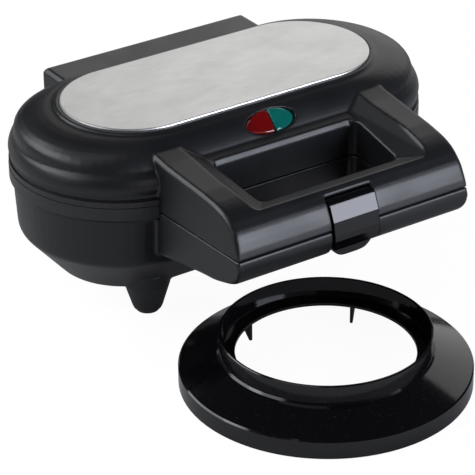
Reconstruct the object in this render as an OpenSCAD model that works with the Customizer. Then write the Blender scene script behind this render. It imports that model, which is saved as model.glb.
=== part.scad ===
// Twin deep-fill pie maker: a deep tub and a domed lid on a rear hinge, non-stick plates with two
// wells, heaters, a clip at the front of a split carry handle, and a loose two-size pastry cutter.
// Millimetres, +Z up. The front (handle side) faces -Y, +X is the right-hand side seen from the front.

/* [Tub and lid outline] */
// half of the straight run between the two rounded ends
straight_half = 63.2; // [61:0.5:68]
// end radius of the tub at its rim
tub_r = 62.3; // [60.5:0.1:64.5]
// tub height, underside to rim
tub_h = 54.5; // [52:0.5:58]
// how far the tub wall leans in towards the bottom
tub_draft = 1.6; // [1:0.25:3]
// radius of the flat underside
under_r = 39; // [36:0.5:41]
// height of the shoulder over the underside
shoulder_h = 25.2; // [23:0.1:27]
// rounding of the shoulder
shoulder_round = 7; // [4:0.5:9]
// rounding of the edge of the underside
under_round = 5; // [3:0.5:7]
// wall of the mouldings
wall = 2.4; // [1.8:0.1:2.8]
// thickness of the tub floor
floor_t = 2.6; // [2:0.1:3.2]

/* [Feet] */
// height of the feet under the tub
foot_h = 18; // [14:0.5:22]
// radius at the top of a foot
foot_top_r = 13.2; // [12:0.1:14]
// radius at the tip of a foot
foot_tip_r = 8.6; // [8:0.1:10]
// foot centre from the middle, left and right
foot_x = 70; // [66:0.5:76]
// foot centre from the middle, front and back
foot_y = 32.5; // [26:0.5:35]
// radius of a rubber pad
pad_r = 6.4; // [5:0.1:7]
// thickness of a rubber pad
pad_t = 2.5; // [2:0.1:3.5]
// how far a pad stands out of its foot
pad_out = 0.8; // [0.5:0.1:1.2]

/* [Baking plates] */
// how far the plates' rim stands proud of the tub
plate_proud = 1.9; // [1.5:0.1:3]
// height of the lower plate's rim band
lower_rim_h = 7.4; // [5:0.1:9]
// height of the upper plate's rim band
upper_rim_h = 3.2; // [3:0.1:6]
// thickness of the cast plates
plate_t = 2.5; // [2:0.1:3]
// gap that the closed plates leave
plate_gap = 0.3; // [0.2:0.05:0.5]
// well centre from the middle
well_x = 57; // [55.5:0.25:59]
// radius of a well at its rim
well_r = 51.5; // [48:0.25:52.5]
// radius of a well at its floor
well_floor_r = 41; // [36:0.5:44]
// depth of a well
well_d = 36; // [28:0.5:37]
// depth of the shallow domes in the upper plate
lid_well_d = 7; // [4:0.25:8]
// slope of the shallow domes, rim to crown
lid_well_slope = 5; // [3:0.25:8]
// height of the bead that seals a pie
bead_h = 1.2; // [0.8:0.1:1.6]
// width of the bead
bead_w = 1.6; // [1.2:0.1:1.8]

/* [Heaters] */
// tube radius of the heating elements
heater_r = 3.2; // [2.5:0.1:3.6]
// bend radius of a heater under a well
heater_ring_r = 32; // [28:0.5:35]
// half opening of a heater ring, in degrees
heater_open = 20; // [15:1:26]
// gap between the two cold ends
heater_gap = 16; // [12:1:24]
// radius of the bare terminal pins
pin_r = 1.6; // [1.2:0.1:2]
// thickness of the heat reflectors
reflector_t = 0.8; // [0.5:0.1:1.2]
// lip height of the heat reflectors
reflector_lip = 4; // [3:0.5:6]

/* [Lid] */
// height of the lower lip of the lid
lip_h = 2.3; // [1.8:0.1:3]
// height of the groove over the lip
groove_h = 0.8; // [0.6:0.1:1.4]
// depth of that groove
groove_d = 1.4; // [0.8:0.1:1.6]
// height of the bulging band
band_h = 11.3; // [10:0.2:15]
// how far the band leans in at its top
band_lean = 4.0; // [3:0.1:5]
// rise of the dome from band to top plate seat
dome_h = 13.3; // [12:0.1:16]
// end radius of the dome at its top
dome_top_r = 44.3; // [43:0.1:46]
// inset step between band and dome
dome_step = 0.8; // [0.5:0.1:1.5]
// how early the dome starts to bend at the front and back
front_bend = 1.5; // [1.2:0.1:2]
// fullness of the dome at the front and back
front_full = 0.71; // [0.6:0.01:0.85]
// how early the dome starts to bend at its two ends
end_bend = 3; // [2:0.1:4]
// fullness of the dome at its two ends
end_full = 0.7; // [0.55:0.01:0.8]
// how far the middle of the dome leans towards the back
dome_back = 1; // [0:0.1:2]
// height of the raised edge round the top plate
edge_h = 1.3; // [0.8:0.1:1.8]

/* [Top plate] */
// half of the straight run of the top plate
top_half = 55.1; // [52:0.5:58]
// end radius of the top plate
top_r = 41.5; // [39:0.1:42]
// height of the folded edge
top_h = 2.3; // [1.8:0.1:3]
// sheet thickness
top_t = 1; // [0.6:0.1:1.2]
// rounding of the folded edge
top_bevel = 0.7; // [0.3:0.1:0.9]

/* [Handle] */
// reach of the handle in front of the rims
handle_reach = 70; // [64:1:80]
// half width of the handle at the body
handle_half = 79.2; // [75:0.1:82]
// how far each side leans in towards the front
handle_lean = 3.6; // [1:0.2:5]
// rise of the handle above the parting line, at the body
handle_rise = 32.5; // [30:0.5:34]
// drop of the handle below the parting line, at the body
handle_drop = 30.8; // [28:0.1:34]
// height of the cooking face over the parting line of the handle
part_drop = 3.6; // [2:0.2:5]
// how far each side leans in from its middle to its top
side_lean = 2.4; // [1:0.2:4]
// width of the bevel on the top edges
bevel_w = 1.8; // [1:0.1:3]
// height of that bevel
bevel_h = 2.2; // [1:0.1:4]
// half width of the finger opening at the body
grip_half = 48; // [44:0.5:54]
// how much narrower the finger opening is at the front, each side
grip_lean = 3; // [1:0.5:6]
// depth of the finger opening, body to bar
grip_depth = 44.5; // [41:0.5:46]
// corner radius of the finger opening
grip_corner = 5; // [3:0.5:8]
// width of the sloped mouth beside the finger opening, at the body
mouth_w = 11.5; // [9:0.5:13]
// rise of that slope
mouth_rise = 7; // [5:0.5:9]
// width of the sloped mouth in front of the finger opening
mouth_front = 11; // [8:0.5:13]
// rise of that front slope
mouth_lip = 3.4; // [2:0.2:5]
// how far the mouth opens sideways at its front corners
mouth_corner = 9; // [6:0.5:11]
// height of the chamfer along the back edge of the finger opening
rim_chamfer = 3; // [1.5:0.1:4]
// rise of the finger opening's rim over the parting line, at the body
rim_back = 22; // [20:0.25:23]
// rise of that rim at the front
rim_front = 16.2; // [15:0.2:17]
// gap at the parting line of the handle
parting = 0.4; // [0.3:0.05:0.8]

/* [Clip] */
// width of the clip
clip_w = 29; // [24:0.5:36]
// depth of the flat slot that the clip's lower half stands in
clip_depth = 7.5; // [6:0.5:9]
// thickness of the clip
clip_t = 4.2; // [3.5:0.1:5]
// how far the clip stands proud of the bar
clip_proud = 1.1; // [0.6:0.1:2]
// radius of the clip's barrel
barrel_r = 4.6; // [4:0.1:5]
// radius of the clip's pin
clip_pin_r = 1.25; // [1:0.05:1.6]
// grip of the clip's pin in the bar, each side
clip_pin_grip = 5; // [4:0.5:7]
// how far the finger tab reaches below the bar
tab_len = 2; // [1.5:0.5:5]
// how far the finger tab flares forward
tab_flare = 3.4; // [2.5:0.1:5]
// corner radius of the finger tab
tab_corner = 11; // [7:0.5:12]

/* [Hinge] */
// half width of the hinge block
hinge_half = 69.5; // [60:1:72]
// depth of the hinge block behind the rims
hinge_depth = 14; // [13:0.5:17]
// height of the hinge block's top under the dome's top
hinge_sink = 6; // [4:0.5:8]
// bevel on the hinge block's top corner
hinge_bevel = 3.5; // [2:0.5:6]
// radius of the hinge pin
hinge_pin_r = 2.5; // [2:0.1:3]
// radius of the hinge knuckles
knuckle_r = 5.5; // [5:0.1:6]
// length of one knuckle
knuckle_len = 12; // [9:0.5:13]
// middle of a lid knuckle from the middle
knuckle_x = 46; // [42:0.5:48]

/* [Lens] */
// length of the indicator lens
lens_l = 32; // [26:0.5:34]
// width of the indicator lens
lens_w = 14; // [11:0.5:15]
// how far the lens bulges out
lens_out = 1.6; // [1:0.1:2.4]
// lens depth inside the dome
lens_in = 3; // [2:0.1:4]
// how far the lens is sunk into the curve of the dome
lens_sink = 0.5; // [0.2:0.1:0.8]
// height of the lens up the dome, as a share of its rise
lens_at = 0.55; // [0.48:0.01:0.62]

/* [Cord entry] */
// radius of the hole for the cord
cord_r = 3.4; // [2.8:0.1:4]
// height of the cord entry above the tub's underside
cord_z = 30; // [26:0.5:34]
// wall of the cord bush
bush_t = 1.8; // [1.4:0.1:2.4]
// flange radius of the cord bush
bush_flange_r = 7.4; // [6.8:0.1:8]
// flange thickness of the cord bush
bush_flange_t = 2.5; // [2:0.1:3]

/* [Pastry cutter] */
// radius of the large cutting edge
cutter_r = 79; // [70:0.5:84]
// height of the skirt over the large edge
skirt_h = 10.9; // [8:0.1:14]
// radius of the small cutting edge
collar_r = 57.3; // [52:0.1:60]
// overall height of the cutter
cutter_h = 30; // [26:0.5:34]
// height of the flange where it meets the collar
flange_z = 19; // [16:0.5:21]
// wall of the cutter
cutter_t = 1.7; // [1.3:0.1:2]
// radius of the open middle
cutter_hole_r = 48.6; // [44:0.1:50]
// number of stiffening fins
fin_count = 5; // [3:1:8]
// height of a fin
fin_h = 10; // [6:0.5:12]
// length of a fin
fin_len = 8; // [6:0.5:10]
// thickness of a fin
fin_t = 1.4; // [1:0.1:2]
// cutter centre from the body's middle, to the right
cutter_x = -30.7; // [-40:0.5:20]
// cutter centre in front of the body's middle
cutter_y = 149.9; // [149.5:0.5:170]

/* [Fixings] */
// radius of the screw shanks
screw_r = 1.5; // [1.2:0.1:1.8]
// radius of the screw heads
head_r = 3; // [2.6:0.1:3.4]
// height of the screw heads
head_h = 2; // [1.6:0.1:2.4]
// wall of a screw post
post_t = 2.2; // [1.8:0.1:2.6]
// how far the lower screw heads sit up inside the tub floor
head_sink = 2; // [1:0.25:3]
// screw distance from the middle, front and back
screw_y = 34; // [30:0.5:35]

/* [Hidden] */
fit = 0.04;             // running clearance on a pin's radius
snug = 0.02;            // clearance of a pin that stays put
clear = 0.5;            // clearance round moving pieces
eps = 0.01;
fine = 96;
shadow = 0.7;           // dark joint between the tub and the plate rim

// levels, from the table up
z_under = foot_h;
z_rim = z_under + tub_h;                       // top edge of the tub
z_low_rim = z_rim + shadow;                    // underside of the lower plate's band
z_low_top = z_low_rim + lower_rim_h;           // cooking face of the lower plate
z_up_bot = z_low_top + plate_gap;              // cooking face of the upper plate
z_up_top = z_up_bot + upper_rim_h;             // top of the upper plate's band
z_lid = z_up_top + shadow;                     // lower edge of the lid
z_groove = z_lid + lip_h;
z_band = z_groove + groove_h;
z_dome = z_band + band_h;
z_dome_top = z_dome + dome_h;                  // seat of the top plate
z_top = z_dome_top + top_h;
z_part = z_low_top - part_drop;                        // parting line of the handle
z_hinge = z_low_top;

// end radii of the plates and the lid, tied to the tub
plate_r = tub_r + plate_proud;
lip_r = plate_r - 0.7;
band_r = plate_r - 0.1;
dome_r = band_r - band_lean - dome_step;
in_r = lip_r - wall - 0.6;                     // inside of the lid
seat_in_r = tub_r - wall;                      // inside of the tub

y_hinge = plate_r + hinge_depth - knuckle_r - 1.4;
y_back = plate_r + hinge_depth;                // rearmost face of the set
y_front = -(cutter_y + cutter_r);              // foremost edge of the set
shift_y = -(y_back + y_front) / 2;             // puts the set's middle on the origin
face_y = plate_r + 0.1;                        // where the handle leaves the body

// ---- shared shapes ----

module in_set() { translate([0, shift_y, 0]) children(); }

// a radial outline (radius, height) carried round a track with round ends
module track(half) {
    for (s = [-1, 1]) translate([s * half, 0, 0]) rotate_extrude($fn = fine) children();
    translate([-half, 0, 0]) rotate([90, 0, 90]) linear_extrude(2 * half) {
        children();
        mirror([1, 0, 0]) children();
    }
}

module slab(half, r, z0, z1) {
    track(half) translate([0, z0]) square([r, z1 - z0]);
}

module ring(r_in, r_out, z0, z1) {
    difference() {
        slab(straight_half, r_out, z0, z1);
        slab(straight_half, r_in, z0 - 1, z1 + 1);
    }
}

function arc(cx, cy, r, a0, a1, n) =
    [for (i = [0:n]) let (a = a0 + (a1 - a0) * i / n) [cx + r * cos(a), cy + r * sin(a)]];

// a corner p between neighbours a and b, rounded to radius r
function unit(v) = v / norm(v);
function corner(a, p, b, r, n = 6) =
    let (u = unit(a - p), v = unit(b - p), h = acos(u * v) / 2,
         c = p + unit(u + v) * r / sin(h), s = p + u * r / tan(h), e = p + v * r / tan(h),
         a0 = atan2(s[1] - c[1], s[0] - c[0]), a1 = atan2(e[1] - c[1], e[0] - c[0]),
         d = a1 - a0, t = d > 180 ? d - 360 : d < -180 ? d + 360 : d)
    [for (i = [0:n]) c + r * [cos(a0 + t * i / n), sin(a0 + t * i / n)]];
function rounded(pts, r) = let (m = len(pts))
    [for (i = [0:m - 1]) each corner(pts[(i + m - 1) % m], pts[i], pts[(i + 1) % m], r)];

// ---- tub ----

// g thickens the outline inwards for the hollow
function tub_outline(g, z_end) = let (b = [under_r - 0.25 * g, z_under + g],
    c = [tub_r - tub_draft - g, z_under + shoulder_h + 0.3 * g], d = [tub_r - g, z_rim]) concat(
    [[0, b[1]]], corner([0, b[1]], b, c, under_round),
    corner(b, c, d, shoulder_round), [d, [tub_r - g, z_end], [0, z_end]]);

module tub_solid(g, z_end) { track(straight_half) polygon(tub_outline(g, z_end)); }

post_r = screw_r + post_t;
well_bottom = z_low_top - well_d - plate_t;
rib_h = 2.2;
heater_z = well_bottom - heater_r;
tray_z = heater_z - heater_r - 3.2;            // underside of the lower reflector
cord_abs_z = z_under + cord_z;
cord_wall_r = tub_r - tub_draft * (z_rim - cord_abs_z) / (tub_h - shoulder_h);
post_split = tray_z + 10;

module base_housing() color([0.07, 0.07, 0.075]) in_set() {
    difference() {
        union() {
            tub_solid(0, z_rim);
            for (x = [-foot_x, foot_x], y = [-foot_y, foot_y]) translate([x, y, 0])
                rotate_extrude($fn = 64) polygon([[0, pad_out], [foot_tip_r - 2, pad_out],
                    [foot_tip_r - 0.8, pad_out + 0.6], [foot_tip_r, pad_out + 2.2],
                    [foot_top_r, foot_h], [foot_top_r + 0.8, foot_h + 8], [0, foot_h + 8]]);
            difference() {
                handle_shell(-1);
                slab(straight_half, face_y, z_rim, z_dome_top);
            }
            for (s = [-1, 1], d = [-1, 1]) hinge_bracket(s * (knuckle_x + d * (knuckle_len + clear)));
            translate([0, cord_wall_r - wall - 3, cord_abs_z]) rotate([-90, 0, 0])
                cylinder(r = bush_flange_r + 1.2, h = wall + 4, $fn = 64);
        }
        difference() {
            tub_cavity();
            // posts that carry the lower plate and the reflector
            for (y = [-screw_y, screw_y]) translate([0, y, z_under])
                cylinder(r = post_r, h = post_split - z_under, $fn = 48);
            for (x = [-straight_half, straight_half], y = [-tray_post_y, tray_post_y])
                translate([x, y, z_under]) cylinder(r = 3, h = tray_z - z_under, $fn = 32);
            translate([0, cord_wall_r - wall - 3, cord_abs_z]) rotate([-90, 0, 0])
                cylinder(r = bush_flange_r + 1.2, h = wall + 4, $fn = 64);
        }
        for (x = [-foot_x, foot_x], y = [-foot_y, foot_y]) translate([x, y, -1])
            cylinder(r = pad_r + snug, h = pad_t + 1, $fn = 64);
        for (y = [-screw_y, screw_y]) translate([0, y, z_under - 1]) {
            cylinder(r = screw_r + snug, h = post_split - z_under + 2, $fn = 32);
            cylinder(r = head_r + 0.3, h = 1 + head_sink + head_h, $fn = 32);
        }
        translate([0, cord_wall_r - wall - 10, cord_abs_z]) rotate([-90, 0, 0])
            cylinder(r = cord_r + bush_t + snug, h = 24, $fn = 64);
        translate([0, y_hinge, z_hinge]) rotate([0, 90, 0])
            cylinder(r = hinge_pin_r + snug, h = 4 * hinge_half, center = true, $fn = 48);
    }
}

tray_post_y = 36;

module tub_cavity() { tub_solid(wall, z_rim + 1); }

// ear that grows from the back of the tub and holds the hinge pin
module hinge_bracket(x) {
    translate([x - knuckle_len / 2, 0, 0]) rotate([90, 0, 90]) linear_extrude(knuckle_len) {
        translate([y_hinge, z_hinge]) circle(r = knuckle_r, $fn = 48);
        polygon([[tub_r - tub_draft - 1, z_rim - 18], [tub_r - 1, z_rim - eps],
                 [y_hinge - knuckle_r + 0.6, z_rim - eps], [y_hinge - knuckle_r + 0.6, z_hinge - 2],
                 [y_hinge, z_hinge], [y_hinge + knuckle_r - 1, z_hinge - 3],
                 [y_hinge + knuckle_r - 3, z_hinge - 9]]);
    }
}

module foot_pads() color([0.12, 0.12, 0.12]) in_set()
    for (x = [-foot_x, foot_x], y = [-foot_y, foot_y]) translate([x, y, 0])
        cylinder(r = pad_r, h = pad_t, $fn = 64);

module cord_bush() color([0.1, 0.1, 0.1]) in_set() {
    translate([0, cord_wall_r, cord_abs_z]) rotate([-90, 0, 0]) difference() {
        union() {
            translate([0, 0, -wall - 3 - bush_flange_t])
                cylinder(r = cord_r + bush_t, h = wall + 4 + 2 * bush_flange_t, $fn = 64);
            translate([0, 0, 1]) cylinder(r = bush_flange_r, h = bush_flange_t, $fn = 64);
            translate([0, 0, -wall - 3 - bush_flange_t])
                cylinder(r = bush_flange_r, h = bush_flange_t, $fn = 64);
        }
        translate([0, 0, -20]) cylinder(r = cord_r, h = 40, $fn = 64);
    }
}

block_at = [18, 14];                           // near corner of the terminal block
block = [24, 11, 7];
module terminal_block() color([0.85, 0.83, 0.78]) in_set() translate([block_at[0], block_at[1], z_under + floor_t])
    difference() {
        cube(block);
        for (share = [0.25, 0.75]) translate([block[0] * share, block[1] / 2, 3])
            cylinder(r = 2, h = 6, $fn = 24);
    }

module base_screws() color([0.6, 0.6, 0.62]) in_set()
    for (y = [-screw_y, screw_y]) translate([0, y, z_under + head_sink]) {
        cylinder(r = head_r, h = head_h, $fn = 32);
        cylinder(r = screw_r, h = post_split - z_under + 8, $fn = 32);
    }

// ---- lower plate and its heater ----

module lower_plate() color([0.1, 0.1, 0.11]) in_set() difference() {
    union() {
        slab(straight_half, plate_r, z_low_top - plate_t, z_low_top);
        ring(plate_r - 3, plate_r, z_low_rim, z_low_top - plate_t + eps);
        ring(seat_in_r + 0.3, tub_r - 0.6, z_rim, z_low_top - plate_t + eps);
        for (s = [-1, 1]) translate([s * well_x, 0, 0]) {
            translate([0, 0, well_bottom])
                cylinder(r1 = well_floor_r + plate_t, r2 = well_r + plate_t,
                         h = well_d + plate_t - eps, $fn = fine);
            translate([0, 0, well_bottom - rib_h]) difference() {
                cylinder(r = heater_ring_r + heater_r + 1.5, h = rib_h + eps, $fn = fine);
                translate([0, 0, -1])
                    cylinder(r = heater_ring_r - heater_r - 1.5, h = rib_h + 2, $fn = fine);
            }
            difference() {
                translate([0, 0, z_low_top - eps]) cylinder(r = well_r + 1.3 + bead_w, h = bead_h, $fn = fine);
                translate([0, 0, z_low_top - 1]) cylinder(r = well_r + 1.3, h = bead_h + 2, $fn = fine);
            }
        }
        for (y = [-screw_y, screw_y]) translate([0, y, post_split])
            cylinder(r = post_r, h = z_low_top - plate_t - post_split + eps, $fn = 48);
    }
    for (s = [-1, 1]) translate([s * well_x, 0, z_low_top - well_d])
        cylinder(r1 = well_floor_r, r2 = well_r, h = well_d + 0.001, $fn = fine);
    for (s = [-1, 1]) translate([s * well_x, 0, z_low_top])
        cylinder(r = well_r, h = bead_h + 1, $fn = fine);
    heater_path(heater_z, heater_r + snug, 0);
    for (y = [-screw_y, screw_y]) translate([0, y, post_split - 1])
        cylinder(r = screw_r + snug, h = 12, $fn = 32);
}

// two open rings joined into one loop by straight runs; gap > 0 leaves the cold ends apart
sleeve = 0.2;           // the straight runs are a little thicker than the rings
module heater_path(z, r, gap) {
    ex = heater_ring_r * cos(heater_open);
    ey = heater_ring_r * sin(heater_open);
    half_run = well_x - ex + r + 0.6;
    for (s = [-1, 1]) translate([s * well_x, 0, z]) rotate([0, 0, s > 0 ? 180 : 0])
        rotate([0, 0, heater_open]) rotate_extrude(angle = 360 - 2 * heater_open, $fn = fine)
            translate([heater_ring_r, 0]) circle(r = r, $fn = 32);
    translate([-half_run, -ey, z]) rotate([0, 90, 0]) cylinder(r = r + sleeve, h = 2 * half_run, $fn = 32);
    if (gap > 0) for (s = [0, 1]) mirror([s, 0, 0]) {
        translate([gap / 2, ey, z]) rotate([0, 90, 0])
            cylinder(r = r + sleeve, h = half_run - gap / 2, $fn = 32);
        translate([gap / 2 - 5, ey, z]) rotate([0, 90, 0]) cylinder(r = pin_r, h = 6, $fn = 24);
    }
    else translate([-half_run, ey, z]) rotate([0, 90, 0])
        cylinder(r = r + sleeve, h = 2 * half_run, $fn = 32);
}

module lower_heater() color([0.45, 0.45, 0.44]) in_set() heater_path(heater_z, heater_r, heater_gap);

module thermostat() color([0.75, 0.72, 0.66]) in_set() translate([well_x, 0, 0]) {
    translate([0, 0, well_bottom - 1.5]) cylinder(r = 9, h = 1.5, $fn = 48);
    translate([0, 0, well_bottom - 7]) cylinder(r = 7.5, h = 5.5 + eps, $fn = 48);
    tag_z = tray_z + reflector_t + clear;
    for (s = [-1, 1]) translate([s * 3.5 - 0.4, -2.5, tag_z]) cube([0.8, 5, well_bottom - 7 - tag_z + eps]);
}

module thermal_fuse() color([0.8, 0.8, 0.78]) in_set() translate([-well_x, 0, 0]) {
    translate([-8, -4.5, well_bottom - 2]) cube([16, 9, 2]);
    translate([-6, 0, well_bottom - 3.8]) rotate([0, 90, 0]) cylinder(r = 2, h = 12, $fn = 32);
}

module tray(z, r, up, hole_y) {
    difference() {
        slab(straight_half, r, z, z + reflector_t + reflector_lip);
        slab(straight_half, r - reflector_t, up ? z + reflector_t : z - 1,
             up ? z + reflector_t + reflector_lip + 1 : z + reflector_lip);
        for (y = [-screw_y, screw_y]) translate([0, y, z - 1])
            cylinder(r = post_r + hole_y, h = reflector_lip + 4, $fn = 48);
    }
}

module lower_reflector() color([0.8, 0.8, 0.82]) in_set() tray(tray_z, tray_r, true, 0.3);
tray_r = 45;

// ---- lid ----

function lid_outline() = [[0, z_lid], [lip_r - 0.6, z_lid], [lip_r, z_lid + 0.6],
    [lip_r, z_groove - 0.6], [lip_r - 0.6, z_groove],
    [lip_r - groove_d, z_groove], [lip_r - groove_d, z_band],
    [band_r - 0.9, z_band], [band_r - 0.2, z_band + band_h * 0.12], [band_r, z_band + band_h * 0.28],
    [band_r - band_lean * 0.12, z_band + band_h * 0.48], [band_r - band_lean * 0.42, z_band + band_h * 0.74],
    [band_r - band_lean, z_dome], [0, z_dome]];

// the dome is lofted through outlines at these shares of its rise
dome_steps = [0, 0.1, 0.22, 0.37, 0.53, 0.68, 0.8, 0.89, 0.95, 1];
dome_turns = 28;           // facets of each round end
dome_ledge = 0.3;          // step between the dome and the raised edge
dome_root = 0.6;           // how far the dome reaches into the band
dome_shut_r = dome_top_r + dome_ledge;
dome_base_end = straight_half + 1.3 + dome_r;
dome_top_end = top_half + 0.1 + dome_shut_r;
function dome_r_at(t) = dome_shut_r + (dome_r - dome_shut_r) * pow(1 - pow(t, front_bend), front_full);
function dome_end_at(t) = dome_top_end + (dome_base_end - dome_top_end) * pow(1 - pow(t, end_bend), end_full);
function dome_front(t) = dome_back * sin(180 * t) - dome_r_at(t);
function dome_ring(t, g, z) = let (r = dome_r_at(t), half = dome_end_at(t) - r)
    [for (s = [1, -1], k = [0:dome_turns]) let (a = 180 * k / dome_turns - 90)
        [s * (half + (r - g) * cos(a)), dome_back * sin(180 * t) + s * (r - g) * sin(a), z]];

// g thins the dome inwards for the hollow
module dome_solid(g) {
    rings = concat([dome_ring(0, g, z_dome - g - dome_root)],
        [for (t = dome_steps) if (g == 0 || t > 0) dome_ring(t, g, z_dome + (dome_h - g) * t)]);
    n = len(rings[0]);
    m = len(rings);
    polyhedron([for (ring = rings) each ring], concat(
        [[for (j = [0:n - 1]) j]],
        [for (i = [0:m - 2], j = [0:n - 1]) [n * i + j, n * (i + 1) + j,
            n * (i + 1) + (j + 1) % n, n * i + (j + 1) % n]],
        [[for (j = [n - 1:-1:0]) n * (m - 1) + j]]), convexity = 4);
}

z_bump = z_up_bot + lid_well_d + plate_t;      // top of the shallow domes
up_heater_z = z_bump + heater_r;
up_tray_z = up_heater_z + heater_r + 1;        // underside of the upper reflector's rim
up_tray_r = tub_r - 18.3;                      // clear of the lamps behind the front of the dome
lid_post_end = up_heater_z + 1;
lens_z = z_dome + dome_h * lens_at;
lens_y = dome_front(lens_at);
lens_reach = 0.25;         // share of the rise each side of the lens that sets its slope
rise_slope = atan2(2 * lens_reach * dome_h, dome_front(lens_at + lens_reach) - dome_front(lens_at - lens_reach));

module on_dome() translate([0, lens_y, lens_z]) rotate([rise_slope, 0, 0])
    translate([0, 0, -lens_sink]) children();

module oval(l, w, h) linear_extrude(h)
    polygon([for (i = [0:47]) [l / 2 * cos(i * 7.5), w / 2 * sin(i * 7.5)]]);

module lid_housing() color([0.08, 0.08, 0.085]) in_set() difference() {
    union() {
        track(straight_half) polygon(lid_outline());
        dome_solid(0);
        slab(top_half + 0.1, dome_top_r, z_dome_top - 0.5, z_dome_top + edge_h);
        hinge_block();
        difference() {
            handle_shell(1);
            slab(straight_half, face_y, z_rim - 10, z_lid);
        }
    }
    difference() {
        union() {
            slab(straight_half, in_r, z_lid - 1, z_dome - wall);
            dome_solid(wall);
        }
        for (y = [-screw_y, screw_y]) translate([0, y, lid_post_end])
            cylinder(r = post_r, h = z_dome_top - lid_post_end, $fn = 48);
        for (x = [-tray_post_x, tray_post_x], y = [-20, 20])
            translate([x, y, up_tray_z + reflector_t + reflector_lip])
                cylinder(r = 3, h = z_dome_top - up_tray_z, $fn = 32);
        // seat round the lens
        on_dome() translate([0, 0, -lens_in - 1.6]) oval(lens_l + 5, lens_w + 4, lens_in + 1.6);
    }
    // recess of the top plate
    slab(top_half, top_r + 0.15, z_dome_top, z_dome_top + edge_h + 1);
    for (y = [-screw_y, screw_y]) translate([0, y, 0]) {
        translate([0, 0, lid_post_end - 1])
            cylinder(r = screw_r + snug, h = z_dome_top - lid_post_end + 2, $fn = 32);
        translate([0, 0, z_dome_top - head_h - 0.4])
            cylinder(r = head_r + 0.3, h = head_h + 1, $fn = 32);
    }
    on_dome() {
        translate([0, 0, -lens_in]) oval(lens_l, lens_w, lens_in + 4);
        for (s = [-1, 1]) translate([s * lamp_x, 0, -lens_in - 4])
            cylinder(r = lamp_r + 0.3, h = 6, $fn = 32);
    }
    hinge_bores();
}
tray_post_x = 50;
lamp_x = 6;
lamp_r = 2.6;

module hinge_block() {
    z1 = z_dome_top - hinge_sink;
    difference() {
        rotate([90, 0, 90]) translate([0, 0, -hinge_half]) linear_extrude(2 * hinge_half)
            polygon([[dome_top_r - 2, z_band], [dome_top_r - 2, z1], [y_back - 1.5, z1], [y_back, z1 - 1.5],
                     [y_back, z_band], [y_back - 1, z_band - 0.5], [dome_top_r - 2, z_band - 0.5]]);
        translate([0, 0, -eps]) rotate([90, 0, 90]) translate([0, 0, -hinge_half + wall])
            linear_extrude(2 * (hinge_half - wall))
                polygon([[lip_r + 1.2, z_band - 2], [lip_r + 1.2, z1 - wall], [y_back - wall, z1 - wall],
                         [y_back - wall, z_band - 2]]);
        for (s = [0, 1]) mirror([s, 0, 0]) translate([hinge_half, 0, z1]) rotate([0, 45, 0])
            cube([hinge_bevel, 4 * y_back, hinge_bevel], center = true);
    }
    for (s = [-1, 1]) translate([s * knuckle_x - knuckle_len / 2, 0, 0]) rotate([90, 0, 90])
        linear_extrude(knuckle_len) {
            translate([y_hinge, z_hinge]) circle(r = knuckle_r, $fn = 48);
            polygon([[y_hinge - knuckle_r + 0.4, z_hinge], [y_hinge - knuckle_r + 0.4, z1 - wall + eps],
                     [y_back - wall + eps, z1 - wall + eps], [y_back - wall + eps, z_band - 0.5],
                     [y_hinge + knuckle_r, z_hinge]]);
        }
}

module hinge_bores() {
    for (s = [-1, 1]) translate([s * knuckle_x, y_hinge, z_hinge]) rotate([0, 90, 0])
        cylinder(r = hinge_pin_r + fit, h = knuckle_len + 2, center = true, $fn = 48);
}

pin_half = knuckle_x + 1.5 * knuckle_len + clear;
module hinge_pin() color([0.7, 0.7, 0.72]) in_set() translate([0, y_hinge, z_hinge])
    rotate([0, 90, 0]) cylinder(r = hinge_pin_r, h = 2 * pin_half, center = true, $fn = 48);

module top_plate() color([0.75, 0.75, 0.74]) in_set() difference() {
    track(top_half) polygon([[0, z_dome_top], [top_r, z_dome_top], [top_r, z_top - top_bevel],
        [top_r - top_bevel * 0.3, z_top - top_bevel * 0.3], [top_r - top_bevel, z_top], [0, z_top]]);
    slab(top_half, top_r - top_t, z_dome_top - 1, z_top - top_t);
}

module upper_plate() color([0.1, 0.1, 0.11]) in_set() difference() {
    union() {
        slab(straight_half, plate_r - 0.2, z_up_bot, z_up_bot + plate_t);
        ring(plate_r - 3, plate_r - 0.2, z_up_bot + plate_t - eps, z_up_top);
        ring(in_r + 0.3, lip_r - 0.9, z_up_bot + plate_t - eps, z_lid);
        for (s = [-1, 1]) translate([s * well_x, 0, 0]) {
            translate([0, 0, z_up_bot + plate_t - eps])
                cylinder(r1 = well_r + plate_t, r2 = well_r - lid_well_slope + plate_t,
                         h = lid_well_d + eps, $fn = fine);
            translate([0, 0, z_bump - eps]) difference() {
                cylinder(r = heater_ring_r + heater_r + 1.5, h = rib_h, $fn = fine);
                translate([0, 0, -1])
                    cylinder(r = heater_ring_r - heater_r - 1.5, h = rib_h + 2, $fn = fine);
            }
        }
        for (y = [-screw_y, screw_y]) translate([0, y, z_up_bot + plate_t - eps])
            cylinder(r = post_r, h = lid_post_end - z_up_bot - plate_t + eps, $fn = 48);
    }
    for (s = [-1, 1]) translate([s * well_x, 0, z_up_bot - 0.001]) {
        cylinder(r1 = well_r, r2 = well_r - lid_well_slope, h = lid_well_d, $fn = fine);
        difference() {
            cylinder(r = well_r + 1.3 + bead_w + 0.5, h = bead_h + 0.3, $fn = fine);
            translate([0, 0, -1]) cylinder(r = well_r + 0.8, h = bead_h + 3, $fn = fine);
        }
    }
    heater_path(up_heater_z, heater_r + snug, 0);
    for (y = [-screw_y, screw_y]) translate([0, y, lid_post_end - 9])
        cylinder(r = screw_r + snug, h = 12, $fn = 32);
}

module upper_heater() color([0.45, 0.45, 0.44]) in_set()
    heater_path(up_heater_z, heater_r, heater_gap);

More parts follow.
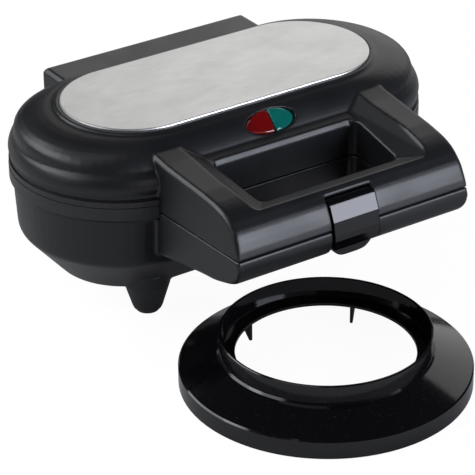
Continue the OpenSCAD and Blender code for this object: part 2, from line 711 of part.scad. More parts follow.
module upper_reflector() color([0.8, 0.8, 0.82]) in_set()
    tray(up_tray_z, up_tray_r, false, 0.3);

module lid_screws() color([0.6, 0.6, 0.62]) in_set()
    for (y = [-screw_y, screw_y]) translate([0, y, 0]) {
        translate([0, 0, z_dome_top - 0.4 - head_h]) cylinder(r = head_r, h = head_h, $fn = 32);
        translate([0, 0, lid_post_end - 8])
            cylinder(r = screw_r, h = z_dome_top - 0.4 - lid_post_end + 8 - eps, $fn = 32);
    }

lens_seam = 0.05;                              // half of the seam between the two halves
lens_room = 100;
module lens_half(s) on_dome() intersection() {
    translate([0, 0, -lens_in]) oval(lens_l - 0.1, lens_w - 0.1, lens_in + lens_out);
    translate([0, 0, lens_out - 40]) sphere(r = 40, $fn = fine);
    translate([s > 0 ? lens_seam : -lens_room / 2 - lens_seam, -lens_room / 2, -lens_room / 2])
        cube([lens_room / 2, lens_room, lens_room]);
}
module red_lens() color([0.6, 0.02, 0.05]) in_set() lens_half(-1);
module green_lens() color([0.05, 0.5, 0.45]) in_set() lens_half(1);

// neon lamps that push up through the lens seat
module lamp(s) on_dome() translate([s * lamp_x, 0, -lens_in - 6.5]) {
    cylinder(r = lamp_r, h = 5, $fn = 32);
    translate([0, 0, 5 - eps]) cylinder(r = lamp_r - 0.8, h = 1.4, $fn = 32);
}
module neon_lamps() color([0.9, 0.6, 0.3]) in_set() { lamp(-1); lamp(1); }

// ---- handle ----

// stations along the handle: [reach, top, bottom] as shares of reach, rise and drop
stations = [[-0.343, 0.98, 1], [0.014, 0.88, 0.89], [0.271, 0.832, 0.787], [0.5, 0.794, 0.715],
            [0.657, 0.748, 0.68], [0.76, 0.69, 0.625], [0.83, 0.61, 0.583], [0.885, 0.505, 0.54],
            [0.93, 0.395, 0.488], [0.98, 0.14, 0.37], [1, -0.095, 0.19]];
front_from = 4;                                // the first station of the rounded front
last_st = len(stations) - 1;
// the point halfway between two stations, on a curve through their neighbours too
function halfway(i) = (9 * (stations[i] + stations[i + 1])
    - stations[i - 1] - stations[min(last_st, i + 2)]) / 16;
handle_line = concat([for (i = [0:front_from]) stations[i]],
                     [for (i = [front_from:last_st - 1]) each [halfway(i), stations[i + 1]]]);

module handle_form(g) {
    m = len(handle_line) - (g > 1 ? 2 : 0);
    pts = [for (i = [0:m - 1]) let (s = handle_line[i],
            y = -(face_y + handle_reach * s[0]) + (s[0] > 0.6 ? g : 0),
            w = handle_half - handle_lean * max(0, s[0]) - g,
            t = z_part + handle_rise * s[1] - g, b = z_part - handle_drop * s[2] + g,
            v = w - side_lean * (t - b) / 2 / handle_rise,
            c = min(1, (t - b) / 20))
        each [[-w + 2 * c, y, b], [w - 2 * c, y, b], [w, y, b + 2 * c], [w, y, (t + b) / 2],
              [v, y, t - bevel_h * c], [v - bevel_w * c, y, t], [-v + bevel_w * c, y, t],
              [-v, y, t - bevel_h * c], [-w, y, (t + b) / 2], [-w, y, b + 2 * c]]];
    polyhedron(pts, concat(
        [[for (j = [0:9]) j]],
        [for (i = [0:m - 2], j = [0:9]) [10 * i + j, 10 * (i + 1) + j, 10 * (i + 1) + (j + 1) % 10]],
        [for (i = [0:m - 2], j = [0:9]) [10 * i + j, 10 * (i + 1) + (j + 1) % 10, 10 * i + (j + 1) % 10]],
        [[for (j = [9:-1:0]) 10 * (m - 1) + j]]), convexity = 4);
}

grip_back = face_y + 1.6;
function grip_plan(g) = rounded([[-grip_half - g, -grip_back + min(g, 1)], [grip_half + g, -grip_back + min(g, 1)],
    [grip_half - grip_lean + g, -grip_back - grip_depth - g],
    [-grip_half + grip_lean - g, -grip_back - grip_depth - g]], grip_corner + g * 0.5);

module grip(g) translate([0, 0, z_part - handle_drop - 5])
    linear_extrude(handle_rise + handle_drop + 10) polygon(grip_plan(g));

// sloped mouth: from the gap's rim out and up through the arms' tops, and back under the dome
module grip_mouth() {
    y0 = -grip_back;
    y1 = y0 - grip_depth;
    under_dome = 18;
    yb = y0 + under_dome;
    fall = (rim_back - rim_front) / grip_depth;
    function half_at(y) = grip_half - grip_lean * (y0 - y) / grip_depth;
    over = 1.3;                                // the slopes run on past the arms' tops
    lift = [0, 0, 15];                         // and the cut goes on straight up from there
    slope_back = [half_at(yb) + mouth_w * over, yb, rim_back + fall * under_dome + mouth_rise * over];
    slope_front = [half_at(y1) + mouth_corner * over, y1 - mouth_front * over, rim_front + mouth_lip * over];
    corners = [[half_at(yb), yb, rim_back + fall * under_dome], [half_at(y1), y1, rim_front],
               slope_back, slope_front, slope_back + lift, slope_front + lift];
    hull() polyhedron([for (s = [-1, 1], q = corners) [s * q[0], q[1], z_part + q[2]]],
        [[0, 1, 3, 2], [2, 3, 5, 4], [6, 8, 9, 7], [8, 10, 11, 9], [0, 6, 7, 1], [4, 5, 11, 10],
         [0, 2, 4, 10, 8, 6], [1, 7, 9, 11, 5, 3]]);
    rim_z = z_part + rim_back;
    across(2 * (grip_half - grip_corner / 2)) polygon([[y0 - 1, rim_z + 1], [y0 - 1, rim_z - rim_chamfer],
        [y0, rim_z - rim_chamfer], [y0 + rim_chamfer / 2, rim_z + 0.2], [y0 + rim_chamfer / 2, rim_z + 1]]);
}

// s = 1 is the half on the lid, s = -1 the half on the tub
half_room = 80;                                // tall enough to hold either half
module handle_shell(s) {
    solid_x = clip_w / 2 + clip_pin_grip + 2;
    intersection() {
        difference() {
            handle_form(0);
            grip(0);
            if (s > 0) grip_mouth();
            // hollow of the arms and bar, with a solid middle for the clip
            difference() {
                handle_form(wall);
                grip(wall);
                translate([0, 0, -wall * 1.35]) grip_mouth();
                slab(straight_half, face_y + wall, z_part - 60, z_part + 60);
                translate([-solid_x, -face_y - handle_reach - 5, z_part - 60])
                    cube([2 * solid_x, handle_reach - grip_depth + 8, 120]);
            }
            clip_slot();
            // the tub half is cut back flat, so the closed clip can lift away with the lid
            if (s < 0) translate([-clip_w / 2 - clear, -face_y - handle_reach - 9, z_part - 60])
                cube([clip_w + 2 * clear, 9 + clip_depth, 70]);
        }
        translate([-100, -200, s > 0 ? z_part + parting / 2 : z_part - half_room - parting / 2])
            cube([200, 200, half_room]);
    }
}

// ---- clip ----

// outer curve of the bar in side view, top to underside, and the same curve moved out by d
function bar_point(f, t) = [-(face_y + handle_reach * f), z_part + (t > 0 ? handle_rise : handle_drop) * t];
bar_curve = concat([for (i = [last_st - 4:last_st]) bar_point(stations[i][0], stations[i][1])],
                   [for (i = [last_st:-1:last_st - 4]) bar_point(stations[i][0], -stations[i][2])]);
function moved(c, d) = [for (i = [0:len(c) - 1])
    let (a = c[max(0, i - 1)], b = c[min(len(c) - 1, i + 1)], t = unit(b - a)) c[i] + d * [-t[1], t[0]] * -1];
function some(c, i0, i1) = [for (i = [i0:i1]) c[i]];
function back(c) = [for (i = [len(c) - 1:-1:0]) c[i]];

clip_pivot = moved(bar_curve, -barrel_r + 0.2)[2];
clip_back = -(face_y + handle_reach - clip_depth + clear);
tab_z = bar_curve[8][1] - tab_len;

module across(w) rotate([90, 0, 90]) translate([0, 0, -w / 2]) linear_extrude(w) children();

module clip_slot() {
    inner = moved(bar_curve, clip_proud - clip_t)[3];
    out_y = -(face_y + handle_reach + 10);
    across(clip_w + 2 * clear) {
        polygon(concat(some(moved(bar_curve, 6), 2, 9),
                       back(some(moved(bar_curve, -(clip_t - clip_proud) - clear), 2, 9))));
        translate(clip_pivot) circle(r = barrel_r + clear, $fn = 48);
        polygon([clip_pivot + [clear, barrel_r], clip_pivot + [clear, 20], clip_pivot + [-20, 20],
                 clip_pivot + [-barrel_r - clear, 0]]);
        // room for the flat-backed lower half
        polygon([[out_y, tab_z - 10], [clip_back + clear, tab_z - 10], [clip_back + clear, z_part + clear],
                 inner + [clear, clear], [out_y, inner[1] + clear]]);
    }
    across(clip_w + 2 * clip_pin_grip) translate(clip_pivot) circle(r = clip_pin_r + snug, $fn = 32);
}

module clip() color([0.03, 0.03, 0.035]) in_set() difference() {
    union() {
        across(clip_w) {
            polygon(concat(some(moved(bar_curve, clip_proud), 2, 4),
                           back(some(moved(bar_curve, clip_proud - clip_t), 2, 4))));
            translate(clip_pivot) circle(r = barrel_r, $fn = 48);
        }
        // flat-backed lower half and finger tab
        intersection() {
            across(clip_w) polygon(concat(some(moved(bar_curve, clip_proud), 3, 6),
                [[clip_back - 3.4, tab_z + 6], [clip_back - tab_flare, tab_z + 1],
                 [clip_back - tab_flare + 0.6, tab_z], [clip_back - 0.6, tab_z],
                 [clip_back, tab_z + 0.6], [clip_back, z_part],
                 moved(bar_curve, clip_proud - clip_t)[3]]));
            translate([0, -face_y - handle_reach - 20, 0]) rotate([-90, 0, 0]) mirror([0, 1, 0])
                linear_extrude(60) polygon(rounded([[-clip_w / 2, z_part + 20], [clip_w / 2, z_part + 20],
                    [clip_w / 2, tab_z], [-clip_w / 2, tab_z]], tab_corner));
        }
    }
    across(clip_w + 4) translate(clip_pivot) circle(r = clip_pin_r + fit, $fn = 32);
}

module clip_pin() color([0.7, 0.7, 0.72]) in_set()
    across(clip_w + 2 * clip_pin_grip) translate(clip_pivot) circle(r = clip_pin_r, $fn = 32);

// ---- pastry cutter ----

module pastry_cutter() color([0.04, 0.04, 0.045]) in_set() translate([cutter_x, -cutter_y, 0]) {
    rotate_extrude($fn = 128) polygon([
        [cutter_r - 0.6, 0], [cutter_r, 0.5], [cutter_r, skirt_h - 0.8], [cutter_r - 0.8, skirt_h],
        [collar_r + 1, flange_z], [collar_r, flange_z + 1.2], [collar_r, cutter_h - 0.4],
        [collar_r - 0.5, cutter_h], [collar_r - cutter_t + 0.3, cutter_h],
        [collar_r - cutter_t, cutter_h - 0.4], [collar_r - cutter_t, flange_z + 0.6],
        [collar_r - cutter_t - 0.8, flange_z], [cutter_hole_r, flange_z - 1],
        [cutter_hole_r, flange_z - 1 - cutter_t], [collar_r + 0.5, flange_z - cutter_t],
        [cutter_r - cutter_t - 0.3, skirt_h - cutter_t], [cutter_r - cutter_t, 0]]);
    for (i = [0:fin_count - 1]) rotate([0, 0, fin_turn + i * 360 / fin_count])
        translate([0, fin_t / 2, 0]) rotate([90, 0, 0]) linear_extrude(fin_t)
            polygon([[cutter_hole_r + 0.4, flange_z - 1 - cutter_t + 0.3],
                     [cutter_hole_r + 0.4, flange_z - 1 - cutter_t - fin_h],
                     [cutter_hole_r + 1.6, flange_z - 1 - cutter_t - fin_h],
                     [cutter_hole_r + fin_len, flange_z - 1 - cutter_t + 0.3]]);
}
fin_turn = 38;            // turn of the first fin from the right

base_housing();
foot_pads();
cord_bush();
terminal_block();
base_screws();
lower_plate();
lower_heater();
thermostat();
thermal_fuse();
lower_reflector();
hinge_pin();
lid_housing();
top_plate();
upper_plate();
upper_heater();
upper_reflector();
lid_screws();
red_lens();
green_lens();
neon_lamps();
clip();
clip_pin();
pastry_cutter();
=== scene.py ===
# Twin deep-fill pie maker with its pastry cutter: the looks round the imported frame, in metres.
import math

import bpy
from mathutils import Matrix, Vector


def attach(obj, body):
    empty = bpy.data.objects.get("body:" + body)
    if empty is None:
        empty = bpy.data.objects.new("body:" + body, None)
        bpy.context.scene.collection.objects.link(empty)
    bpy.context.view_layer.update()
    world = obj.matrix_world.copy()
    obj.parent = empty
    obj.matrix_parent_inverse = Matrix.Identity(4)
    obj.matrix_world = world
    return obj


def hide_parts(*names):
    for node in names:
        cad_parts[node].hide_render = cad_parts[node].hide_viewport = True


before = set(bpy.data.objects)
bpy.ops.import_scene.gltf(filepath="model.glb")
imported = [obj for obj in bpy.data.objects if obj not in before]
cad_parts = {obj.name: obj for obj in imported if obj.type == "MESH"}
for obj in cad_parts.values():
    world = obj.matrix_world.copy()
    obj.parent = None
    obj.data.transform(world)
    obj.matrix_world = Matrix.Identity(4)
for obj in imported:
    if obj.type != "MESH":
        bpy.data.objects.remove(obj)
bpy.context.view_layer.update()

# ---- Tub moulding ----
# The tub, its four feet, the hinge ears and the lower half of the handle are one black
# polypropylene moulding with a fine spark-eroded grain and softly rounded edges. Its corners
# shine a little where hands and cloths rub them.

MIX_A, MIX_B, MIX_RESULT = 6, 7, 2  # the colour sockets of a Mix node
NOISE_LOW, NOISE_HIGH = 0.3, 0.7    # the range that most of a noise lies in


def new_group(name, inputs, outputs):
    """An empty shader node group with named float inputs, and its two end nodes."""
    group = bpy.data.node_groups.new(name, "ShaderNodeTree")
    for label, value in inputs:
        socket = group.interface.new_socket(label, in_out="INPUT", socket_type="NodeSocketFloat")
        socket.default_value = value
    for label in outputs:
        group.interface.new_socket(label, in_out="OUTPUT", socket_type="NodeSocketFloat")
    return group, group.nodes.new("NodeGroupInput"), group.nodes.new("NodeGroupOutput")


def add_node(tree, kind, sockets=None, **settings):
    """A node with its settings made and its sockets filled in or linked."""
    made = tree.nodes.new(kind)
    for key, value in settings.items():
        setattr(made, key, value)
    for key, value in (sockets or {}).items():
        if hasattr(value, "is_output"):
            tree.links.new(value, made.inputs[key])
        else:
            made.inputs[key].default_value = value
    return made


def arithmetic(tree, operation, *terms):
    """The result of a Math node on numbers or sockets."""
    return add_node(tree, "ShaderNodeMath", dict(enumerate(terms)), operation=operation).outputs[0]


def blotches(tree, size, detail=3.0, squeeze=(1.0, 1.0, 1.0)):
    """Soft noise whose blobs are about that size, laid in the object's own space."""
    place = add_node(tree, "ShaderNodeTexCoord")
    stretch = add_node(tree, "ShaderNodeMapping", {
        "Vector": place.outputs["Object"], "Scale": squeeze})
    scale = arithmetic(tree, "DIVIDE", 1.0, size)
    noise = add_node(tree, "ShaderNodeTexNoise", {
        "Vector": stretch.outputs["Vector"], "Scale": scale, "Detail": detail})
    return noise.outputs["Fac"]


def moulded_grain_group():
    """Pitted tool texture: its height, and slow patches where the skin is shinier."""
    group, start, end = new_group(
        "moulded_grain", [("Grain Size", 0.0004), ("Patch Size", 0.03)], ["Height", "Patches"])
    group.links.new(blotches(group, start.outputs["Grain Size"], 2.0), end.inputs["Height"])
    group.links.new(blotches(group, start.outputs["Patch Size"], 4.0), end.inputs["Patches"])
    return group


def edge_wear_group():
    """A mask that rises on convex edges, broken up by noise so that the rub is uneven."""
    group, start, end = new_group(
        "edge_wear", [("Edge From", 0.52), ("Edge To", 0.6), ("Break Size", 0.006)], ["Mask"])
    shape = add_node(group, "ShaderNodeNewGeometry")
    edge = add_node(group, "ShaderNodeMapRange", {
        "Value": shape.outputs["Pointiness"], "From Min": start.outputs["Edge From"],
        "From Max": start.outputs["Edge To"]})
    broken = blotches(group, start.outputs["Break Size"])
    group.links.new(arithmetic(group, "MULTIPLY", edge.outputs[0], broken), end.inputs["Mask"])
    return group


grain_group = moulded_grain_group()
wear_group = edge_wear_group()


def new_material(name):
    """A node material with its tree and its Principled shader."""
    material = bpy.data.materials.new(name)
    material.use_nodes = True
    return material, material.node_tree, material.node_tree.nodes["Principled BSDF"]


def moulded_plastic(name, colour, rubbed, roughness, grain_size, grain_depth):
    """Moulded plastic: grain in the normal, patchy sheen, and corners rubbed paler and smoother."""
    material, tree, shader = new_material(name)
    grain = add_node(tree, "ShaderNodeGroup", node_tree=grain_group)
    grain.inputs["Grain Size"].default_value = grain_size
    wear = add_node(tree, "ShaderNodeGroup", node_tree=wear_group)
    tint = add_node(tree, "ShaderNodeMix", {
        "Factor": wear.outputs["Mask"], MIX_A: (*colour, 1.0), MIX_B: (*rubbed, 1.0)},
        data_type="RGBA")
    spread = 0.12  # how much the patches and the rub change the roughness
    patchy = add_node(tree, "ShaderNodeMapRange", {
        "Value": grain.outputs["Patches"], "From Min": NOISE_LOW, "From Max": NOISE_HIGH,
        "To Min": roughness * (1.0 - spread), "To Max": roughness * (1.0 + spread)})
    worn = arithmetic(tree, "MULTIPLY_ADD", wear.outputs["Mask"], -spread, patchy.outputs[0])
    bump = add_node(tree, "ShaderNodeBump", {
        "Height": grain.outputs["Height"], "Strength": 1.0, "Distance": grain_depth})
    tree.links.new(tint.outputs[MIX_RESULT], shader.inputs["Base Color"])
    tree.links.new(worn, shader.inputs["Roughness"])
    tree.links.new(bump.outputs["Normal"], shader.inputs["Normal"])
    return material


def softened(cad_name, new_name, body, step, rounds):
    """A moulding with every edge rounded: its solid, cut anew on a fine grid and smoothed."""
    piece = bpy.data.objects.new(new_name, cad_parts[cad_name].data.copy())
    bpy.context.scene.collection.objects.link(piece)
    piece.data.materials.clear()
    grid = piece.modifiers.new("grid", "REMESH")
    grid.mode = "VOXEL"
    grid.voxel_size = step
    grid.use_smooth_shade = True
    smooth = piece.modifiers.new("round", "SMOOTH")
    smooth.factor = 0.5
    smooth.iterations = rounds
    graph = bpy.context.evaluated_depsgraph_get()
    cut = bpy.data.meshes.new_from_object(piece.evaluated_get(graph))
    piece.modifiers.clear()
    piece.data = cut
    cut.name = new_name
    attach(piece, body)
    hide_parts(cad_name)
    return piece


satin_black = moulded_plastic(
    "satin_black_plastic", (0.0065, 0.0068, 0.008), (0.016, 0.017, 0.02), 0.38, 0.0004, 0.000022)
tub_moulding = softened("base_housing", "tub_moulding", "tub", 0.0007, 9)
tub_moulding.data.materials.append(satin_black)


FLAT_WITHIN = math.radians(0.3)  # faces that turn less than this are joined into one
SHARP_FROM = math.radians(35)    # edges that turn more than this are rounded


def dressed(cad_name, material, edge=0.0, steps=2):
    """A CAD node that keeps its shape: its material, and a small round on its sharp edges."""
    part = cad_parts[cad_name]
    part.data.materials.clear()
    part.data.materials.append(material)
    if edge > 0.0:
        flat = part.modifiers.new("join flats", "DECIMATE")
        flat.decimate_type = "DISSOLVE"
        flat.angle_limit = FLAT_WITHIN
        flat.delimit = {"SHARP"}
        round_off = part.modifiers.new("edge", "BEVEL")
        round_off.width = edge
        round_off.segments = steps
        round_off.limit_method = "ANGLE"
        round_off.angle_limit = SHARP_FROM
        round_off.harden_normals = True


# ---- Feet pads and cord bush ----
# Four rubber pads are pressed into the feet, and a rubber bush lines the hole in the back wall
# where the cord enters. Both are soft black rubber with a dusty bloom.

rubber = moulded_plastic(
    "black_rubber", (0.02, 0.02, 0.021), (0.045, 0.045, 0.046), 0.75, 0.0007, 0.00003)
dressed("foot_pads", rubber)
dressed("cord_bush", rubber)

# ---- Baking plates ----
# Two pressed aluminium plates with deep wells below and shallow ones above, coated in dark grey
# non-stick that has a fine pale fleck and a dull sheen.


def nonstick_coating():
    """Sprayed non-stick: dark grey with pale flecks, dull, and slightly orange-peeled."""
    material, tree, shader = new_material("nonstick_coating")
    fleck = add_node(tree, "ShaderNodeMapRange", {
        "Value": blotches(tree, 0.0006, 1.0), "From Min": 0.66, "From Max": 0.72})
    tint = add_node(tree, "ShaderNodeMix", {
        "Factor": fleck.outputs[0], MIX_A: (0.016, 0.016, 0.018, 1.0),
        MIX_B: (0.07, 0.07, 0.075, 1.0)}, data_type="RGBA")
    dull = add_node(tree, "ShaderNodeMapRange", {
        "Value": blotches(tree, 0.02), "From Min": NOISE_LOW, "From Max": NOISE_HIGH,
        "To Min": 0.34, "To Max": 0.44})
    peel = add_node(tree, "ShaderNodeBump", {
        "Height": blotches(tree, 0.0015, 2.0), "Strength": 1.0, "Distance": 0.00004})
    tree.links.new(tint.outputs[MIX_RESULT], shader.inputs["Base Color"])
    tree.links.new(dull.outputs[0], shader.inputs["Roughness"])
    tree.links.new(peel.outputs["Normal"], shader.inputs["Normal"])
    return material


nonstick = nonstick_coating()
dressed("lower_plate", nonstick, 0.0005)
dressed("upper_plate", nonstick, 0.0005)

# ---- Heaters, reflectors and small parts inside ----
# Sheathed steel elements lie against the plates over pressed aluminised trays. The thermostat,
# fuse and terminal block are glazed ceramic, and screws and pins are bright zinc-plated steel.


def bare_metal(name, colour, roughness, streak, squeeze):
    """Plain metal with fine streaks or scratches in its sheen and surface."""
    material, tree, shader = new_material(name)
    lines = blotches(tree, streak, 3.0, squeeze)
    dirt = blotches(tree, 0.012, 4.0)
    tint = add_node(tree, "ShaderNodeMix", {
        "Factor": dirt, MIX_A: (*(0.82 * c for c in colour), 1.0), MIX_B: (*colour, 1.0)},
        data_type="RGBA")
    sheen = add_node(tree, "ShaderNodeMapRange", {
        "Value": lines, "From Min": NOISE_LOW, "From Max": NOISE_HIGH,
        "To Min": roughness * 0.8, "To Max": roughness * 1.2})
    scratch = add_node(tree, "ShaderNodeBump", {
        "Height": lines, "Strength": 1.0, "Distance": 0.000008})
    tree.links.new(tint.outputs[MIX_RESULT], shader.inputs["Base Color"])
    tree.links.new(sheen.outputs[0], shader.inputs["Roughness"])
    tree.links.new(scratch.outputs["Normal"], shader.inputs["Normal"])
    shader.inputs["Metallic"].default_value = 1.0
    return material


heater_sheath = bare_metal("heater_sheath", (0.28, 0.26, 0.24), 0.45, 0.0006, (1.0, 1.0, 1.0))
aluminised = bare_metal("aluminised_steel", (0.62, 0.62, 0.63), 0.38, 0.0012, (0.1, 1.0, 1.0))
zinc = bare_metal("zinc_plated_steel", (0.58, 0.58, 0.56), 0.3, 0.0008, (1.0, 1.0, 0.2))
ceramic = moulded_plastic(
    "glazed_ceramic", (0.62, 0.6, 0.55), (0.7, 0.68, 0.63), 0.35, 0.0006, 0.00001)
for heater in ("lower_heater", "upper_heater"):
    dressed(heater, heater_sheath)
for tray in ("lower_reflector", "upper_reflector"):
    dressed(tray, aluminised)
for fixing in ("base_screws", "lid_screws", "hinge_pin", "clip_pin"):
    dressed(fixing, zinc)
for insulator in ("terminal_block", "thermostat", "thermal_fuse"):
    dressed(insulator, ceramic)

# ---- Lid moulding ----
# The lid carries the dome, the hinge block and the upper half of the handle with its finger
# opening. It is the same satin black polypropylene as the tub, moulded in one piece.

lid_moulding = softened("lid_housing", "lid_moulding", "lid", 0.0006, 11)
lid_moulding.data.materials.append(satin_black)

# ---- Top plate ----
# A stainless sheet with its edge folded down sits in the recess of the dome. It is brushed along
# its length and left bare.


def brushed_stainless():
    """Stainless steel brushed along X: fine long lines, cloudy patches and faint smears."""
    material, tree, shader = new_material("brushed_stainless")
    lines = blotches(tree, 0.0004, 3.0, (0.03, 1.0, 1.0))
    clouds = blotches(tree, 0.022, 5.0, (0.6, 1.0, 1.0))
    mottle = blotches(tree, 0.0045, 3.0, (0.5, 1.0, 1.0))
    patch = arithmetic(tree, "MULTIPLY_ADD", mottle, 0.35, clouds)
    patch = add_node(tree, "ShaderNodeMapRange", {
        "Value": patch, "From Min": 0.5, "From Max": 0.85})
    brushed = arithmetic(tree, "MULTIPLY_ADD", lines, 0.5, patch.outputs[0])
    tint = add_node(tree, "ShaderNodeMix", {
        "Factor": arithmetic(tree, "MULTIPLY", brushed, 0.7),
        MIX_A: (0.66, 0.66, 0.655, 1.0), MIX_B: (0.84, 0.84, 0.83, 1.0)}, data_type="RGBA")
    sheen = add_node(tree, "ShaderNodeMapRange", {
        "Value": lines, "From Min": NOISE_LOW, "From Max": NOISE_HIGH,
        "To Min": 0.3, "To Max": 0.44})
    smeared = arithmetic(tree, "MULTIPLY_ADD", clouds, 0.08, sheen.outputs[0])
    scratch = add_node(tree, "ShaderNodeBump", {
        "Height": brushed, "Strength": 1.0, "Distance": 0.00001})
    tree.links.new(tint.outputs[MIX_RESULT], shader.inputs["Base Color"])
    tree.links.new(smeared, shader.inputs["Roughness"])
    tree.links.new(scratch.outputs["Normal"], shader.inputs["Normal"])
    shader.inputs["Metallic"].default_value = 1.0
    return material


dressed("top_plate", brushed_stainless(), 0.0003)

# ---- Indicator lens and lamps ----
# One oval window in two halves, red for power and green for ready, each over its neon lamp. The
# halves are dyed polycarbonate, polished outside, with their rims rounded over.


def dyed_window(name, colour):
    """Polished dyed plastic with deeper and paler cells, a faint ripple and a clear skin."""
    material, tree, shader = new_material(name)
    depth = add_node(tree, "ShaderNodeMix", {
        "Factor": blotches(tree, 0.004), MIX_A: (*(0.7 * c for c in colour), 1.0),
        MIX_B: (*colour, 1.0)}, data_type="RGBA")
    polish = add_node(tree, "ShaderNodeMapRange", {
        "Value": blotches(tree, 0.006), "From Min": NOISE_LOW, "From Max": NOISE_HIGH,
        "To Min": 0.06, "To Max": 0.12})
    ripple = add_node(tree, "ShaderNodeBump", {
        "Height": blotches(tree, 0.003), "Strength": 1.0, "Distance": 0.00003})
    tree.links.new(depth.outputs[MIX_RESULT], shader.inputs["Base Color"])
    tree.links.new(polish.outputs[0], shader.inputs["Roughness"])
    tree.links.new(ripple.outputs["Normal"], shader.inputs["Normal"])
    shader.inputs["IOR"].default_value = 1.58
    shader.inputs["Coat Weight"].default_value = 0.3
    shader.inputs["Coat Roughness"].default_value = 0.03
    return material


lens_grid, lens_rounds = 0.0004, 45
red_half = softened("red_lens", "red_half", "lid", lens_grid, lens_rounds)
red_half.data.materials.append(dyed_window("red_window", (0.2, 0.0004, 0.0008)))
green_half = softened("green_lens", "green_half", "lid", lens_grid, lens_rounds)
green_half.data.materials.append(dyed_window("green_window", (0.0004, 0.17, 0.14)))
dressed("neon_lamps", dyed_window("neon_glass", (0.75, 0.5, 0.3)))

# ---- Clip ----
# The clip hooks the lid's bar to the tub's bar and swings on its own pin. It is gloss black
# nylon, polished in the tool, with fine handling marks.


def gloss_plastic(name, colour, roughness):
    """Polished black plastic with faint swirls of handling marks and a trace of dust."""
    material, tree, shader = new_material(name)
    marks = blotches(tree, 0.0012, 5.0, (1.0, 0.35, 1.0))
    dust = add_node(tree, "ShaderNodeMapRange", {
        "Value": blotches(tree, 0.0007, 1.0), "From Min": 0.7, "From Max": 0.76})
    tint = add_node(tree, "ShaderNodeMix", {
        "Factor": dust.outputs[0], MIX_A: (*colour, 1.0), MIX_B: (0.03, 0.03, 0.032, 1.0)},
        data_type="RGBA")
    polish = add_node(tree, "ShaderNodeMapRange", {
        "Value": marks, "From Min": 0.35, "From Max": 0.75,
        "To Min": roughness, "To Max": roughness * 2.0})
    sink = add_node(tree, "ShaderNodeBump", {
        "Height": blotches(tree, 0.02, 1.0), "Strength": 1.0, "Distance": 0.00006})
    tree.links.new(tint.outputs[MIX_RESULT], shader.inputs["Base Color"])
    tree.links.new(polish.outputs[0], shader.inputs["Roughness"])
    tree.links.new(sink.outputs["Normal"], shader.inputs["Normal"])
    return material


gloss_black = gloss_plastic("gloss_black_plastic", (0.0018, 0.0018, 0.0024), 0.08)
dressed("clip", gloss_black, 0.0007, 3)

# ---- Pastry cutter ----
# A loose two-size ring: the skirt cuts the base round and the collar the lid round. It is gloss
# black plastic with thin fins under the flange.

dressed("pastry_cutter", gloss_black, 0.001, 4)

# ---- Table, light and camera ----
# The set stands on a pale table. A bright soft box at the front right, pale walls behind, at the
# left and in front, and a weak light overhead light it. The camera looks down from the front left.

bpy.context.scene.view_settings.view_transform = "Standard"
table_half = 4.0
table_mesh = bpy.data.meshes.new("table")
table_mesh.from_pydata(
    [(-table_half, -table_half, 0), (table_half, -table_half, 0), (table_half, table_half, 0),
     (-table_half, table_half, 0)], [], [(0, 1, 2, 3)])
table = bpy.data.objects.new("table", table_mesh)
bpy.context.scene.collection.objects.link(table)

table_paint, tree, shader = new_material("pale_table")
shader.inputs["Roughness"].default_value = 0.9
tint = add_node(tree, "ShaderNodeMix", {
    "Factor": blotches(tree, 0.2), MIX_A: (0.6, 0.6, 0.6, 1.0), MIX_B: (0.64, 0.64, 0.64, 1.0)},
    data_type="RGBA")
tree.links.new(tint.outputs[MIX_RESULT], shader.inputs["Base Color"])
table_glow = 1.12    # lifts the table to white where the camera sees it
seen_share = 0.85    # how much of what the camera sees is glow; the rest keeps the shadow
mirror_share = 0.04  # how much of the table's mirror image is glow
white = add_node(tree, "ShaderNodeEmission", {
    "Color": (1.0, 1.0, 1.0, 1.0), "Strength": table_glow})
rays = add_node(tree, "ShaderNodeLightPath")
camera_ray = rays.outputs["Is Camera Ray"]
seen = arithmetic(tree, "MAXIMUM", camera_ray, rays.outputs["Is Transmission Ray"])
share = arithmetic(tree, "MULTIPLY", seen, seen_share)
mirrored = arithmetic(tree, "MULTIPLY", rays.outputs["Is Glossy Ray"], mirror_share)
share = arithmetic(tree, "MAXIMUM", share, mirrored)
mixed = add_node(tree, "ShaderNodeMixShader", {
    0: share, 1: shader.outputs[0], 2: white.outputs[0]})
tree.links.new(mixed.outputs[0], tree.nodes["Material Output"].inputs["Surface"])
table_mesh.materials.append(table_paint)

world = bpy.data.worlds.new("pale_room")
world.use_nodes = True
bpy.context.scene.world = world
tree = world.node_tree
room = tree.nodes["Background"]
room.inputs["Color"].default_value = (0.045, 0.046, 0.055, 1.0)
seen_wall = add_node(tree, "ShaderNodeBackground", {
    "Color": (1.0, 1.0, 1.0, 1.0), "Strength": 1.0})
rays = add_node(tree, "ShaderNodeLightPath")
mixed = add_node(tree, "ShaderNodeMixShader", {
    0: rays.outputs["Is Camera Ray"], 1: room.outputs[0], 2: seen_wall.outputs[0]})
tree.links.new(mixed.outputs[0], tree.nodes["World Output"].inputs["Surface"])


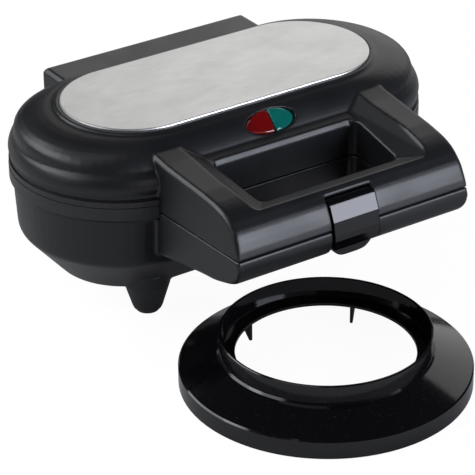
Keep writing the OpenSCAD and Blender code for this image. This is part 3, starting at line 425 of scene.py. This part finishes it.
def soft_box(name, place, aim, width, height, brightness, colour=(1.0, 1.0, 1.0)):
    """An area lamp of that brightness that faces its aim and isn't seen by the camera."""
    data = bpy.data.lights.new(name, "AREA")
    data.shape = "RECTANGLE"
    data.size, data.size_y = width, height
    data.energy = brightness * math.pi * width * height
    data.color = colour
    lamp = bpy.data.objects.new(name, data)
    lamp.location = place
    lamp.rotation_mode = "QUATERNION"
    lamp.rotation_quaternion = (Vector(aim) - Vector(place)).to_track_quat("-Z", "Y")
    lamp.visible_camera = False
    bpy.context.scene.collection.objects.link(lamp)


middle = (0.0, 0.03, 0.06)
soft_box("front_right_box", (0.6, -1.28, 0.46), middle, 0.84, 0.66, 9.6, (0.84, 0.87, 1.0))
soft_box("back_left_wall", (-1.6, 1.5, 1.5), middle, 2.2, 1.5, 3.6, (0.94, 0.97, 1.0))
soft_box("left_wall", (-1.8, 0.3, 1.05), middle, 1.3, 0.9, 2.4, (0.94, 0.97, 1.0))
soft_box("back_right_wall", (1.7, 1.38, 0.95), middle, 2.5, 1.7, 1.0, (1.0, 0.99, 0.97))
soft_box("overhead_left", (-0.75, -0.1, 1.8), middle, 1.0, 1.0, 0.8)
soft_box("front_wall", (-0.2, -1.9, 0.75), middle, 1.4, 0.8, 0.6)

# The camera stands about 1.4 m away, turned and dropped by these angles.
view_from = Vector((-0.6878, -0.98785, 0.7007))
view_turn = math.radians(-33.37)
view_drop = math.radians(28.66)
view_roll = math.radians(-0.65)
focal_share = 2465.07 / 475  # focal length as a share of the frame's width

back = Vector((math.sin(view_turn) * math.cos(view_drop),
               -math.cos(view_turn) * math.cos(view_drop), math.sin(view_drop)))
level = (-back).cross(Vector((0, 0, 1))).normalized()
upright = level.cross(-back)
across = level * math.cos(view_roll) + upright * math.sin(view_roll)
upward = upright * math.cos(view_roll) - level * math.sin(view_roll)
camera_data = bpy.data.cameras.new("camera")
camera_data.sensor_width = 36.0
camera_data.lens = camera_data.sensor_width * focal_share
camera = bpy.data.objects.new("camera", camera_data)
turned = Matrix((across, upward, back)).transposed().to_4x4()
camera.matrix_world = Matrix.Translation(view_from) @ turned
bpy.context.scene.collection.objects.link(camera)
bpy.context.scene.camera = camera
